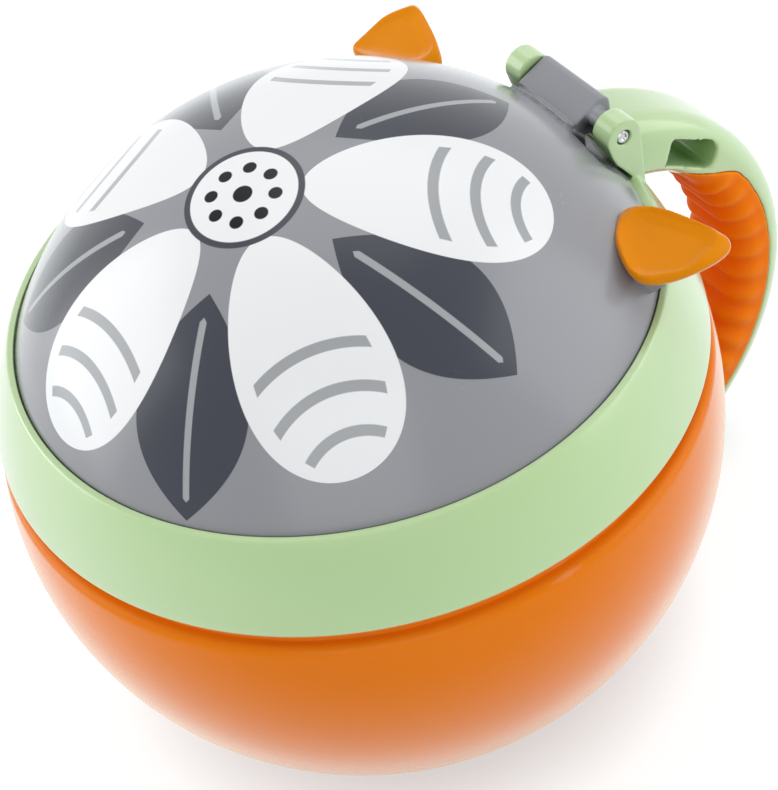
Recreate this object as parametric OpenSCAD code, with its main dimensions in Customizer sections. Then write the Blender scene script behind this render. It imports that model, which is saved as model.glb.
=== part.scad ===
// Ball-shaped toddler snack cup: screw-on collar with a hooked handle, hinged lid with ears,
// and a ring of soft flaps across the mouth. Millimetres, +Z up, the lid hinged at the back (+Y).
// The origin is the middle of the flat foot. Most pieces are drawn about the centre of the ball.

/* [Ball] */
// Diameter of the closed ball, over the bowl
ball_d = 94; // [90:0.5:98]
// Height of the ball's centre above the ground
centre_h = 40.5; // [39:0.25:41.5]
// Wall of the bowl
bowl_wall = 2.2; // [1.8:0.1:2.6]

/* [Collar] */
// Lower edge of the collar above the ball's centre
collar_low = 11.2; // [10.8:0.1:11.4]
// Deck that the lid rests on, above the ball's centre
deck_z = 21.4; // [21:0.1:21.6]
// Thickness of the deck and of the collar's outer skin
collar_wall = 2; // [1.6:0.1:2.2]
// How far the collar stands proud of the bowl
collar_proud = 0.3; // [0.1:0.05:0.5]
// Radius of the mouth, inside the well that holds the flaps
mouth_r = 33.2; // [32.8:0.1:33.4]

/* [Thread] */
// Outer radius of the bowl's neck
neck_r = 37; // [36.8:0.1:37.1]
// Top of the neck above the ball's centre
neck_top = 18.3; // [18.2:0.1:18.4]
// Rise of the thread in one full turn
thread_lead = 12; // [11:0.5:13]
// Number of thread starts
thread_starts = 3; // [2:1:3]
// Angle that each thread covers
thread_span = 90; // [60:5:100]

/* [Lid] */
// How far the lid's dome lies inside the ball
lid_inset = 0.7; // [0.5:0.1:1]
// Lower edge of the dome above the ball's centre
lid_low = 22.2; // [22.1:0.05:22.4]
// Wall of the dome
lid_wall = 2; // [1.6:0.1:2.2]
// Wall of the inner cover
liner_wall = 1.2; // [1:0.1:1.4]

/* [Hinge] */
// Hinge pin behind the ball's centre
hinge_y = 38.1; // [38:0.1:38.3]
// Hinge pin above the ball's centre
hinge_z = 30.5; // [30.4:0.1:30.7]
// Radius of the heads of the collar's lugs
lug_r = 2.55; // [2.4:0.05:2.6]
// Radius of the lid's hinge block
block_r = 2.5; // [2.4:0.05:2.6]
// Radius of the hinge pin
pin_r = 0.95; // [0.8:0.05:1.1]
// Left end of the lid's hinge block
block_from = -7.3; // [-7.4:0.1:-6.8]
// Right end of the lid's hinge block
block_to = 4.9; // [4.4:0.1:6]
// Width over both lugs of the collar
lugs_w = 21.8; // [21.2:0.2:22.4]

/* [Handle] */
// Centre of the handle's curve behind the ball's centre
handle_y = 32; // [31.4:0.1:32.4]
// Centre of the handle's curve above the ball's centre
handle_z = -6.3; // [-6.8:0.1:-5.8]
// Outer radius of the handle's curve
handle_r = 35; // [34:0.1:36]
// Width of the handle
handle_w = 12; // [11:0.2:13]
// Thickness of the handle
handle_t = 8.4; // [7.6:0.1:9]
// Angle at which the handle ends, below level
handle_end = 60; // [52:1:62]
// Number of ribs on the grip
rib_count = 12; // [8:1:14]

/* [Flaps] */
// Number of soft flaps
flap_count = 6; // [5:1:8]
// Distance from the middle of the mouth to each flap's hinge line
flap_reach = 26.9; // [26:0.1:27]
// Slit between two flaps
flap_slit = 0.6; // [0.5:0.1:1]

/* [Ears] */
// Radius that rounds the ears' edges
ear_round = 1.1; // [0.9:0.1:1.3]

/* [Hidden] */
$fn = 96;

ORANGE = [0.86, 0.42, 0.11];
DEEP_ORANGE = [0.84, 0.33, 0.06];
MINT = [0.76, 0.85, 0.68];
GREY = [0.60, 0.60, 0.63];
PALE_GREY = [0.80, 0.80, 0.82];
CLEAR_WHITE = [0.90, 0.91, 0.92];
STEEL = [0.70, 0.71, 0.73];

far = 200;
ball_r = ball_d / 2;
bowl_in_r = ball_r - bowl_wall;
collar_r = ball_r + collar_proud;
dome_r = ball_r - lid_inset;
dome_in_r = dome_r - lid_wall;

// Bowl: its shoulder, groove, lip and neck
shoulder_round = 1.3;
shoulder_z = 7.8;
shoulder_top = shoulder_z + shoulder_round;
ceiling_z = 8.4;
groove_r = 44.4;
lip_r = 45.3;
lip_top = collar_low - 0.25;
lip_h = 0.5;
neck_wall = 1.8;
bowl_deck_r = 45.03;

// Collar: threaded wall, well for the flaps and the bead around the lid
skirt_r = neck_r + 1.5;
skirt_wall = 1.6;
bead_in_r = 40.75;
bead_top = 22.85;
well_wall = 1.4;
well_low = 15;
ledge_in_r = 31.8;
ledge_h = 1.2;

// Thread ridge: how it stands in its wall, its depth and its half heights
thread_sink = 0.15;
thread_depth = 1.1;
root_half = 0.8;
crest_half = 0.4;
thread_steps = 18;
bowl_thread_z = 14.3;
collar_thread_z = 12.3;

// Hinge: clearances, the block's ledge and boss, and the plate that carries the handle
running = 0.07;
swing_gap = 0.4;
side_gap = 0.3;
lug_in = side_gap - block_from;
relief_r = 4;
relief_side = 0.6;
ledge_y = 33.8;
ledge_up = 0.45;
boss_r = 1.35;
foot_r = 39.6;
foot_top = 23.5;
foot_from = 62;
foot_to = 80;
plate_y = 41;
plate_t = 1.6;
plate_top = 24.2;

// Handle: end of the grip, slot and inner edge
handle_in_r = handle_r - handle_t;
handle_round = 3.2;
root_angle = 76;
cap_t = 3.1;
spine_w = 5;
spine_t = 3.2;
grip_to = 57;
slot_y = 19.8;
slot_z = 23.1;
slot_turn = -31.8;
slot_half = 4.6;
slot_h = 4.1;
rib_r = 1.9;
rib_proud = 0.75;
rib_first = 32;
rib_last = -54;

// Flaps and the rings that hold them
flap_t = 1;
root_r = 0.52;
root_gap = 0.15;
flap_z = well_low + ledge_h + 0.1;
ring_t = 1.2;
ring_fit = 0.1;
retainer_in_r = 31.4;
retainer_h = 1.4;

// Ears, as points of the right ear's upper edge in the frame of the ball's centre
ear_edge = [[24.9, 27.0, 29.3], [21.0, 30.4, 28.4], [23.1, 32.0, 29.4], [27.7, 33.5, 30.2],
            [31.5, 34.8, 29.3], [32.8, 35.1, 28.6], [33.1, 31.6, 28.7], [31.8, 27.4, 28.5], [30.0, 25.3, 29.1]];
ear_root = [[20.8, 30.2, 27.1], [23.2, 31.6, 27.2], [30.2, 31.4, 27.3], [30.2, 28.0, 27.4], [29.0, 26.2, 27.5]];
ear_hollow = [[24.2, 29.8, 31.6], [27.6, 31.0, 31.7], [31.0, 32.4, 31.6],
              [31.6, 29.6, 31.3], [30.0, 27.0, 31.4]];
hollow_round = 3;
peg_at = [26.0, 28.7, 27.6];
peg_r = 1.4;
peg_len = 4;
pad_z = 23.8;
pad_h = 2.25;
pad_in_r = 40;
pad_r = 42.6;
pad_from = 43;
pad_to = 54;

// Moves what is drawn about the ball's centre to its height
module at_ball() { translate([0, 0, centre_h]) children(); }

// Turns a profile in the plane of symmetry (y, z) into a plate of width w, centred on x = 0
module across(w) { rotate([90, 0, 90]) linear_extrude(height = w, center = true) children(); }

// Band of a revolved profile between two heights
module band(low, high) { translate([0, low]) square([far, high - low]); }

// Ring section from radius a to b and height low to high
module ring(a, b, low, high) { translate([a, low]) square([b - a, high - low]); }

// One thread ridge on a wall of radius r; side is 1 outward and -1 inward
module thread_ridge(r, side, z) {
  foot = r - side * thread_sink;
  crest = r + side * thread_depth;
  section = side > 0
    ? [[foot, -root_half], [crest, -crest_half], [crest, crest_half], [foot, root_half]]
    : [[crest, -crest_half], [foot, -root_half], [foot, root_half], [crest, crest_half]];
  points = [for (i = [0:thread_steps]) let (a = thread_span * i / thread_steps)
    for (q = section) [q[0] * cos(a), q[0] * sin(a), q[1] + z + thread_lead * a / 360]];
  last = 4 * thread_steps;
  sides = [for (i = [0:thread_steps - 1]) for (j = [0:3])
    [4 * i + j, 4 * i + (j + 1) % 4, 4 * i + 4 + (j + 1) % 4, 4 * i + 4 + j]];
  polyhedron(points, concat([[3, 2, 1, 0]], sides, [[last, last + 1, last + 2, last + 3]]), 4);
}

module thread(r, side, z) {
  for (k = [0:thread_starts - 1]) rotate(360 * k / thread_starts) thread_ridge(r, side, z);
}

// Bowl: round shell with a flat foot, a grooved shoulder and a threaded neck
module bowl() {
  color(ORANGE) at_ball() {
    rotate_extrude() difference() {
      union() {
        intersection() { circle(ball_r); band(-centre_h, shoulder_z + 0.2); }
        translate([bowl_deck_r, shoulder_z]) circle(shoulder_round);
        ring(neck_r - neck_wall, bowl_deck_r, shoulder_z, shoulder_top);
        ring(neck_r - neck_wall, groove_r, shoulder_z, lip_top);
        ring(neck_r - neck_wall, lip_r, lip_top - lip_h, lip_top);
        ring(neck_r - neck_wall, neck_r, shoulder_z, neck_top);
      }
      intersection() { circle(bowl_in_r); band(bowl_wall - centre_h, ceiling_z); }
      ring(0, neck_r - neck_wall, 0, far);
      translate([-far, -far]) square([far, 2 * far]);
    }
    thread(neck_r, 1, bowl_thread_z);
  }
}

// Seal: flat ring between the neck and the deck
module bowl_seal() {
  color(CLEAR_WHITE) at_ball() rotate_extrude() ring(34.9, 38.1, neck_top + 0.1, deck_z - collar_wall - 0.15);
}

// Lug on each side of the lid's hinge block, with its stem
module lug_profile() {
  translate([hinge_y, hinge_z]) circle(lug_r);
  translate([hinge_y - 1, deck_z - 1]) square([lug_r + 1, hinge_z - deck_z + 1]);
}

module lugs() {
  lug_w = lugs_w / 2 - lug_in;
  difference() {
    for (side = [-1, 1]) translate([side * (lug_in + lug_w / 2), 0, 0]) across(lug_w) lug_profile();
    sphere(dome_r + swing_gap);
  }
}

// Foot of each lug along the collar's edge, grown by a clearance for the space that the dome leaves it
module lug_feet(clear) {
  for (side = [0, 1]) mirror([side, 0, 0]) intersection() {
    sphere(collar_r + clear);
    rotate(foot_from - clear) rotate_extrude(angle = foot_to - foot_from + 2 * clear)
      ring(foot_r - clear, ball_r, deck_z - 1, foot_top + clear);
  }
}

// Plate behind the lid that carries the handle
module hinge_plate() {
  difference() {
    across(handle_w + 1) translate([plate_y, deck_z - 3]) square([plate_t, plate_top - deck_z + 3]);
    cylinder(r = bead_in_r + 0.2, h = far, center = true);
  }
}

// Collar: outer skin, deck, threaded skirt and the well for the flaps, in one moulding
module collar() {
  color(MINT) at_ball() difference() {
    union() {
      rotate_extrude() union() {
        intersection() {
          difference() { circle(collar_r); circle(collar_r - collar_wall); }
          band(collar_low, deck_z);
        }
        intersection() {
          circle(collar_r);
          union() {
            ring(mouth_r, far, deck_z - collar_wall, deck_z);
            ring(bead_in_r, far, deck_z - collar_wall, bead_top);
          }
        }
        ring(skirt_r, skirt_r + skirt_wall, collar_low + 0.2, deck_z - 1);
        ring(mouth_r, mouth_r + well_wall, well_low, deck_z - 1);
        ring(ledge_in_r, mouth_r + 0.5, well_low, well_low + ledge_h);
      }
      lugs();
      lug_feet(0);
      hinge_plate();
      thread(skirt_r, -1, collar_thread_z);
    }
    translate([0, hinge_y, hinge_z]) rotate([0, 90, 0]) cylinder(r = pin_r + 0.01, h = far, center = true);
  }
}

// Rounded outline of the handle's section, from its inner radius outward
module handle_section() {
  x = handle_w / 2 - handle_round;
  union() {
    for (side = [-1, 1]) {
      translate([handle_r - handle_round, side * x]) circle(handle_round);
      translate([handle_in_r + handle_round, side * x]) circle(handle_round);
    }
    translate([handle_in_r, -x]) square([handle_t, 2 * x]);
    translate([handle_in_r + handle_round, -handle_w / 2]) square([handle_t - 2 * handle_round, handle_w]);
  }
}

// Sweeps a section about the centre of the handle's curve, from one angle above level to another
module handle_sweep(from, to) {
  translate([0, handle_y, handle_z]) rotate([90, 0, 90]) rotate(from) rotate_extrude(angle = to - from)
    children();
}

// What is left of the curve: above its end, with a round tip, and behind the hinge plate
module handle_reach() {
  across(far) translate([handle_y, handle_z]) rotate(-handle_end) polygon([[0, 0], [far, 0],
    [far, far], [-far, far]]);
  translate([0, handle_y, handle_z]) rotate([-handle_end, 0, 0])
    translate([0, handle_r - handle_t / 2, 0]) rotate([0, 90, 0])
      cylinder(r = handle_t / 2 + 0.05, h = far, center = true);
}

// Whole handle, as one moulding with its tip cut round and its root thickened underneath
module handle_solid() {
  difference() {
    intersection() {
      union() {
        handle_sweep(-handle_end - 12, root_angle) handle_section();
        across(handle_w - handle_round) translate([handle_y, handle_z])
          polygon([[17.4, 20.2], [12.6, 22.5], [8.6, 23.6], [8.6, 27], [17.4, 25]]);
      }
      handle_reach();
    }
    sphere(collar_r);
    across(far) translate([0, -far / 2]) square([plate_y + plate_t, far]);
  }
}

// Part of the handle's section that the grip takes, leaving the cap and the spine
module grip_section() {
  difference() {
    translate([handle_in_r - 2, -far / 2]) square([handle_t + 2 - cap_t, far]);
    translate([handle_r - cap_t - spine_t, -spine_w / 2]) square([spine_t + 1, spine_w]);
  }
}

// Space that the grip takes, ending on a slant under the strap slot
module grip_space() {
  intersection() {
    handle_sweep(-handle_end - 12, grip_to) grip_section();
    across(far) translate([handle_y, handle_z]) polygon([[0, -far], [far, -far], [far, -1], [33.4, -1],
      [32.4, 4], [30.3, 9.6], [28.6, 13.4], [27, 15.7], [25.4, 16.7], [22.8, 17.8], [20.1, 19], [17.2, 20.1],
      [15, 20.5], [0, 20.5]]);
  }
}

// Slot for a strap, right through the handle, with a slanted end and a round one
module strap_slot() {
  h = slot_h / 2;
  across(far) translate([handle_y + slot_y, handle_z + slot_z]) rotate(slot_turn) {
    polygon([[-slot_half, h], [-slot_half + 0.8, -h], [slot_half - 1, -h], [slot_half, 1 - h],
      [slot_half, h - 2], [slot_half - 2, h]]);
    translate([slot_half - 1, 1 - h]) circle(1);
    translate([slot_half - 2, h - 2]) circle(2);
  }
}

module handle_shell() {
  color(MINT) at_ball() difference() {
    handle_solid();
    grip_space();
    strap_slot();
  }
}

// Round ribs across the inside of the grip
module grip_ribs() {
  for (i = [0:rib_count - 1]) {
    a = rib_first + (rib_last - rib_first) * i / (rib_count - 1);
    translate([0, handle_y, handle_z]) rotate([a, 0, 0])
      translate([0, handle_in_r + rib_r - rib_proud, 0]) rotate([0, 90, 0])
        cylinder(r = rib_r, h = handle_w - 2 * handle_round + 1, center = true);
  }
}

// Soft ribbed grip around the inside of the handle
module handle_grip() {
  color(DEEP_ORANGE) at_ball() intersection() {
    union() {
      handle_solid();
      grip_ribs();
    }
    grip_space();
  }
}

// Steel pin through the lugs and the lid's block
module hinge_pin() {
  color(STEEL) at_ball() translate([0, hinge_y, hinge_z]) rotate([0, 90, 0])
    cylinder(r = pin_r, h = lugs_w - 0.4, center = true);
}

// Soft ring that carries the flaps, with one straight hinge edge for each
module flap_ring() {
  color(CLEAR_WHITE) at_ball() translate([0, 0, flap_z]) difference() {
    cylinder(r = mouth_r - ring_fit, h = ring_t);
    translate([0, 0, -1]) rotate(180 / flap_count)
      cylinder(r = (flap_reach + root_r + root_gap) / cos(180 / flap_count), h = ring_t + 2, $fn = flap_count);
  }
}

module flap_retainer() {
  color(PALE_GREY) at_ball() rotate_extrude()
    ring(retainer_in_r, mouth_r - ring_fit, flap_z + ring_t, flap_z + ring_t + retainer_h);
}

// Half the width of a flap at a distance from the middle of the mouth
function flap_half(reach) = reach * tan(180 / flap_count) - flap_slit / 2 / cos(180 / flap_count);

// One flap: a wedge from its round hinge edge to a blunt tip by the middle
module flap(k) {
  tip = 2;
  color(CLEAR_WHITE) at_ball() translate([0, 0, flap_z + 0.1]) rotate(360 * k / flap_count) {
    linear_extrude(height = flap_t) polygon([
      [tip, -flap_half(tip)], [flap_reach, -flap_half(flap_reach)],
      [flap_reach, flap_half(flap_reach)], [tip, flap_half(tip)]]);
    translate([flap_reach, 0, flap_t / 2]) rotate([90, 0, 0])
      cylinder(r = root_r, h = 2 * flap_half(flap_reach - root_r), center = true);
  }
}

module flap_1() { flap(0); }
module flap_2() { flap(1); }
module flap_3() { flap(2); }
module flap_4() { flap(3); }
module flap_5() { flap(4); }
module flap_6() { flap(5); }

// Draws a profile about the pin (y, z) out along it, from one distance to another
module along_pin(from, to) {
  translate([(from + to) / 2, 0, 0]) across(to - from) translate([hinge_y, hinge_z]) children();
}

// Section of the hinge block about the pin: round behind, flat on top and down to the dome in front
module block_section() {
  difference() {
    union() {
      circle(block_r);
      polygon([[-3.1, -1.6], [-3, 0.5], [1.6, 2.3], [2.45, 1.5], [2.5, 0], [0, -block_r]]);
    }
    polygon([[-3.1, 0.46], [1.6, 2.3], [4.2, 3.32], [-3.1, 6]]);
  }
}

// Hinge block of the lid, with a low ledge on the dome and a boss towards the nearer lug
module hinge_block() {
  along_pin(block_from, block_to) block_section();
  along_pin(block_to - 1, lug_in - side_gap) circle(boss_r);
  intersection() {
    sphere(dome_r + ledge_up);
    along_pin(block_from, block_to) polygon([[ledge_y - hinge_y + 0.6, -1.3], [ledge_y - hinge_y, 2.5],
      [-2, 2.5], [-2, -2.3]]);
  }
}

// Flared pad that carries an ear over the collar's edge
module ear_pad() {
  in_r = dome_in_r * cos(45);
  rotate(pad_from) rotate_extrude(angle = pad_to - pad_from)
    polygon([[in_r, pad_z], [pad_in_r, pad_z], [pad_r, pad_z + pad_h], [in_r, pad_z + pad_h]]);
}

module on_both_sides() {
  children();
  mirror([1, 0, 0]) children();
}

// Peg of an ear, through the dome towards the ball's centre
module ear_peg(r) {
  rotate([0, acos(peg_at[2] / norm(peg_at)), atan2(peg_at[1], peg_at[0])])
    translate([0, 0, norm(peg_at) - peg_len]) cylinder(r = r, h = peg_len);
}

// Dome of the lid with its hinge block and the pads under the ears
module lid_dome() {
  color(GREY) at_ball() difference() {
    union() {
      difference() {
        rotate_extrude() intersection() {
          circle(dome_r);
          band(lid_low, far);
          translate([0, -far]) square([far, 2 * far]);
        }
        lug_feet(side_gap);
        along_pin(block_to, lugs_w / 2 + relief_side) circle(relief_r);
        along_pin(-lugs_w / 2 - relief_side, block_from) circle(relief_r);
      }
      hinge_block();
      on_both_sides() ear_pad();
    }
    sphere(dome_in_r);
    translate([0, hinge_y, hinge_z]) rotate([0, 90, 0]) cylinder(r = pin_r + running, h = far, center = true);
    on_both_sides() ear_peg(peg_r + 0.05);
  }
}

// Inner cover of the lid, with the plug that goes into the mouth
module lid_liner() {
  outer = dome_in_r - 1.3;
  plug_r = mouth_r - 0.6;
  color(PALE_GREY) at_ball() rotate_extrude() intersection() {
    translate([0, -far]) square([far, 2 * far]);
    union() {
      intersection() {
        difference() { circle(outer); circle(outer - liner_wall); }
        band(lid_low + 0.1, far);
      }
      intersection() {
        circle(dome_in_r - 0.05);
        ring(35.8, far, lid_low + 0.1, lid_low + 1.3);
      }
      difference() {
        intersection() {
          circle(outer - liner_wall / 2);
          ring(plug_r - 1.4, plug_r, deck_z - 1.7, far);
        }
        ring(plug_r - 0.7, far, deck_z - 0.95, deck_z - 0.05);
      }
    }
  }
}

module lid_seal() {
  color(CLEAR_WHITE) at_ball() rotate_extrude()
    ring(mouth_r - 1.3, mouth_r - 0.3, deck_z - 0.9, deck_z - 0.1);
}

// Right ear: rounded leaf with a shallow hollow in its upper face, and a peg into the dome
module ear() {
  color(ORANGE) at_ball() {
    difference() {
      hull() for (p = concat(ear_edge, ear_root)) translate(p) sphere(ear_round, $fn = 24);
      hull() for (p = ear_hollow) translate(p) sphere(hollow_round, $fn = 24);
      sphere(dome_r);
      translate([0, 0, pad_z + pad_h - far / 2]) cube(far, center = true);
    }
    ear_peg(peg_r);
  }
}

module ear_right() { ear(); }
module ear_left() { mirror([1, 0, 0]) ear(); }

bowl();
bowl_seal();
collar();
handle_shell();
handle_grip();
hinge_pin();
flap_ring();
flap_retainer();
flap_1();
flap_2();
flap_3();
flap_4();
flap_5();
flap_6();
lid_dome();
lid_liner();
lid_seal();
ear_left();
ear_right();
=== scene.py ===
"""Looks of the ball-shaped snack cup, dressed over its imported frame.

Pieces are drawn in millimetres about the middle of the ball, and settle() moves each to the frame.
"""
import math

import bmesh
import bpy
from mathutils import Matrix, Vector


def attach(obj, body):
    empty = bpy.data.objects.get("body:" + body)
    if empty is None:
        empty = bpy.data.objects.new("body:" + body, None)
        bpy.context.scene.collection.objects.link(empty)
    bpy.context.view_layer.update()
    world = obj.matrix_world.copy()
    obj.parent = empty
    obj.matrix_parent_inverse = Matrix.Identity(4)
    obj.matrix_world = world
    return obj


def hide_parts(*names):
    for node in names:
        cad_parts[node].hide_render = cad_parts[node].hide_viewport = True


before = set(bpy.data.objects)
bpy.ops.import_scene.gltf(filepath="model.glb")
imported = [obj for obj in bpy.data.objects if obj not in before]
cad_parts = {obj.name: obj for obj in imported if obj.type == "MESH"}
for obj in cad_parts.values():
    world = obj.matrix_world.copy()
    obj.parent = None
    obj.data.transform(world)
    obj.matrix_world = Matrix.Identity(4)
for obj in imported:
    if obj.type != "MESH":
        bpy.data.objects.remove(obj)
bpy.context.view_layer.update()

# ---- sizes, in millimetres
MM = 0.001
BALL_R = 47.0
CENTRE_H = 40.5
FLUSH = 0.06  # how far one piece's skin lies under the skin that it is moulded with

# Bowl
BOWL_IN_R = 44.8
SHOULDER_R, SHOULDER_Z, SHOULDER_ROUND = 45.03, 7.8, 1.3
SHOULDER_TOP = SHOULDER_Z + SHOULDER_ROUND
CEILING_Z = 8.4
GROOVE_R = 44.4
LIP_R, LIP_LOW, LIP_TOP = 45.3, 10.45, 10.95
NECK_R, NECK_IN_R, NECK_TOP = 37.0, 35.2, 18.3
FLOOR_T, DIMPLE_R, DIMPLE_EDGE_R, DIMPLE_UP = 2.2, 7.0, 7.6, 0.35

# Collar
COLLAR_R, COLLAR_IN_R = 47.3, 45.3
COLLAR_LOW, DECK_Z, DECK_LOW = 11.2, 21.4, 19.4
BEAD_IN_R, BEAD_TOP = 40.58, 22.85
MOUTH_R, WELL_OUT_R, WELL_LOW = 33.2, 34.6, 15.0
LEDGE_IN_R, LEDGE_TOP = 31.8, 16.2
SKIRT_R, SKIRT_OUT_R = 38.5, 40.1

# Thread: rise of one full turn, height of each wall's ridges, how far they stand out and how high they are
THREAD_LEAD, THREAD_STARTS, THREAD_SPAN = 12.0, 3, 90
BOWL_THREAD_Z, COLLAR_THREAD_Z = 14.3, 12.3
THREAD_DEPTH, THREAD_SINK, THREAD_HALF_H = 1.1, 0.15, 0.8

# Lid
DOME_R, DOME_IN_R, LID_LOW = 46.3, 44.3, 22.2
LINER_R, LINER_IN_R, LINER_FOOT_R = 43.0, 41.8, 35.8
PLUG_R, PLUG_IN_R, PLUG_LOW, PLUG_TOP = 32.6, 31.2, 19.7, 26.2
PAD_LOW, PAD_TOP, PAD_IN_R, PAD_R = 23.8, 26.05, 40.0, 42.6
PAD_FROM, PAD_TO = 43.0, 54.0

# Hinge
HINGE_Y, HINGE_Z = 38.1, 30.5
LUG_R, BLOCK_R, BOSS_R, PIN_R = 2.55, 2.5, 1.35, 0.95
BLOCK_FROM, BLOCK_TO = -7.3, 4.9
LUGS_W, LUG_IN, SIDE_GAP = 21.8, 7.6, 0.3
SWING_GAP, RELIEF_R, RELIEF_SIDE = 0.4, 4.1, 0.7
FOOT_R, FOOT_TOP, FOOT_SINK = 39.4, 23.6, 0.15
FOOT_FROM, FOOT_TO, FOOT_RISE = 62.0, 80.0, 7.0
LEDGE_Y, LEDGE_BACK, LEDGE_UP = 33.8, 36.5, 0.45
ROOT_Y, ROOT_BACK = 31.0, 36.2
PLATE_Y, PLATE_BACK, PLATE_TOP = 41.0, 42.6, 24.2

# Handle
HANDLE_Y, HANDLE_Z = 32.0, -6.3
HANDLE_R, HANDLE_IN_R, HANDLE_HALF_W = 35.0, 26.6, 6.0
HANDLE_MID_R = (HANDLE_R + HANDLE_IN_R) / 2
HANDLE_ROUND = 3.2
HANDLE_ROOT, HANDLE_END = 76.0, -60.0
SWELL_SLOPE, SWELL_ZERO, SWELL_FROM, SWELL_FULL = 0.085, 51, 49, 54  # towards the root, by the turn
GRIP_R = 31.9
SLOT_Y, SLOT_Z, SLOT_HALF, SLOT_H, SLOT_SLANT = 19.8, 23.1, 4.6, 4.1, 0.8
SLOT_TURN = math.radians(-31.8)
RIB_COUNT, RIB_FIRST, RIB_LAST, RIB_PROUD, RIB_END = 12, 32.0, -54.0, 0.75, 5

# Flaps
FLAP_COUNT, FLAP_REACH, FLAP_TIP, FLAP_SLIT = 6, 26.9, 1.7, 0.6
FLAP_HALF_T, FLAP_WEB_LESS, FLAP_RIB, FLAP_EDGE = 0.48, 0.16, 0.12, 0.45
BEAD_FADE, RIB_SIDE, RIB_START, RIB_STOP = (0.8, 1.5), (0.7, 0.25), (6, 8), (22, 20)
FLAP_MID_Z, RING_LOW, RING_TOP, RETAINER_TOP = 16.9, 16.3, 17.5, 18.9
RETAINER_IN_R, STEP_LOW_R, STEP_TOP_R, INSERT_R = 31.4, 32.2, 32.4, 33.1

# Ears, as points of the right ear
EAR_ROUND, HOLLOW_ROUND = 1.1, 5.0
EAR_EDGE = ((24.9, 27.0, 29.3), (21.0, 30.4, 28.4), (23.1, 32.0, 29.4), (27.7, 33.5, 30.2),
            (31.5, 34.8, 29.3), (32.8, 35.1, 28.6), (33.1, 31.6, 28.7), (31.8, 27.4, 28.5),
            (30.0, 25.3, 29.1))
EAR_ROOT = ((20.8, 30.2, 27.1), (23.2, 31.6, 27.2), (30.2, 31.4, 27.3), (30.2, 28.0, 27.4),
            (29.0, 26.2, 27.5))
EAR_HOLLOW = ((24.2, 29.8, 34.2), (27.6, 31.0, 34.3), (31.0, 32.4, 34.2), (31.6, 29.6, 33.9),
              (30.0, 27.0, 34.0))


# ---- mesh tools
def piece_from(mesh_data, name):
    """Object from a bmesh, linked to the scene."""
    mesh = bpy.data.meshes.new(name)
    mesh_data.to_mesh(mesh)
    mesh_data.free()
    piece = bpy.data.objects.new(name, mesh)
    bpy.context.collection.objects.link(piece)
    return piece


def closed_piece(mesh_data, name):
    """Object from a closed bmesh, with its normals outward."""
    bmesh.ops.recalc_face_normals(mesh_data, faces=mesh_data.faces)
    return piece_from(mesh_data, name)


def solid(name, points, faces):
    """Closed piece from points and faces."""
    mesh_data = bmesh.new()
    corners = [mesh_data.verts.new(point) for point in points]
    for face in faces:
        mesh_data.faces.new([corners[i] for i in face])
    return closed_piece(mesh_data, name)


def bake_modifiers(piece):
    """Replaces the piece's mesh by what its modifiers make of it."""
    evaluated = piece.evaluated_get(bpy.context.evaluated_depsgraph_get())
    mesh = bpy.data.meshes.new_from_object(evaluated)
    old = piece.data
    piece.modifiers.clear()
    piece.data = mesh
    bpy.data.meshes.remove(old)


def combine(piece, tool, operation="DIFFERENCE"):
    """Boolean of a piece with a tool, which is then thrown away."""
    step = piece.modifiers.new("combine", "BOOLEAN")
    step.object = tool
    step.operation = operation
    step.solver = "EXACT"
    bake_modifiers(piece)
    bpy.data.objects.remove(tool)


def merge(name, pieces):
    """One object from several shells."""
    mesh_data = bmesh.new()
    for piece in pieces:
        mesh_data.from_mesh(piece.data)
        bpy.data.objects.remove(piece)
    return piece_from(mesh_data, name)


def soften(piece, voxel, rounds):
    """Fuses a piece's shells and rounds its edges, as a mould does."""
    remesh = piece.modifiers.new("remesh", "REMESH")
    remesh.mode = "VOXEL"
    remesh.voxel_size = voxel
    smooth = piece.modifiers.new("smooth", "SMOOTH")
    smooth.factor = 0.5
    smooth.iterations = rounds
    bake_modifiers(piece)


def settle(piece, sharp):
    """Moves a piece from millimetres about the ball's middle into the frame, and shades it."""
    piece.data.transform(Matrix.Scale(MM, 4) @ Matrix.Translation((0, 0, CENTRE_H)))
    piece.data.shade_smooth()
    piece.data.set_sharp_from_angle(angle=math.radians(sharp))


def dress(piece, body, slot, material, *nodes):
    """Puts a finished piece on its body, in place of its CAD nodes, with its material."""
    piece.data.materials.clear()
    piece.data.materials.append(material)
    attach(piece, body)
    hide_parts(*nodes)


def on_sphere(radius, height):
    """Distance from the axis of a sphere's point at a height."""
    return math.sqrt(radius * radius - height * height)


def between(low, high, share):
    """Value at a share of the way from low to high."""
    return low + (high - low) * share


def sphere_arc(radius, from_z, to_z, steps):
    """Points along a sphere's profile between two heights."""
    start, end = math.asin(from_z / radius), math.asin(to_z / radius)
    turns = [between(start, end, i / steps) for i in range(steps + 1)]
    return [(radius * math.cos(t), radius * math.sin(t), 0) for t in turns]


def rounded(corners, steps=5):
    """Outline with arcs at its corners, each given as (x, y, radius of its rounding)."""
    outline = []
    count = len(corners)
    for i, (x, y, radius) in enumerate(corners):
        here = Vector((x, y))
        to_last = Vector(corners[i - 1][:2]) - here
        to_next = Vector(corners[(i + 1) % count][:2]) - here
        if radius <= 0:
            outline.append((x, y))
            continue
        half_turn = to_last.angle(to_next) / 2
        reach = min(radius / math.tan(half_turn), 0.49 * to_last.length, 0.49 * to_next.length)
        radius = reach * math.tan(half_turn)
        inward = (to_last.normalized() + to_next.normalized()).normalized()
        middle = here + inward * (radius / math.sin(half_turn))
        start = here + to_last.normalized() * reach - middle
        end = here + to_next.normalized() * reach - middle
        sweep = start.angle_signed(end)
        for step in range(steps + 1):
            turned = Matrix.Rotation(-sweep * step / steps, 2) @ start
            outline.append(tuple(middle + turned))
    return outline


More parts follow.
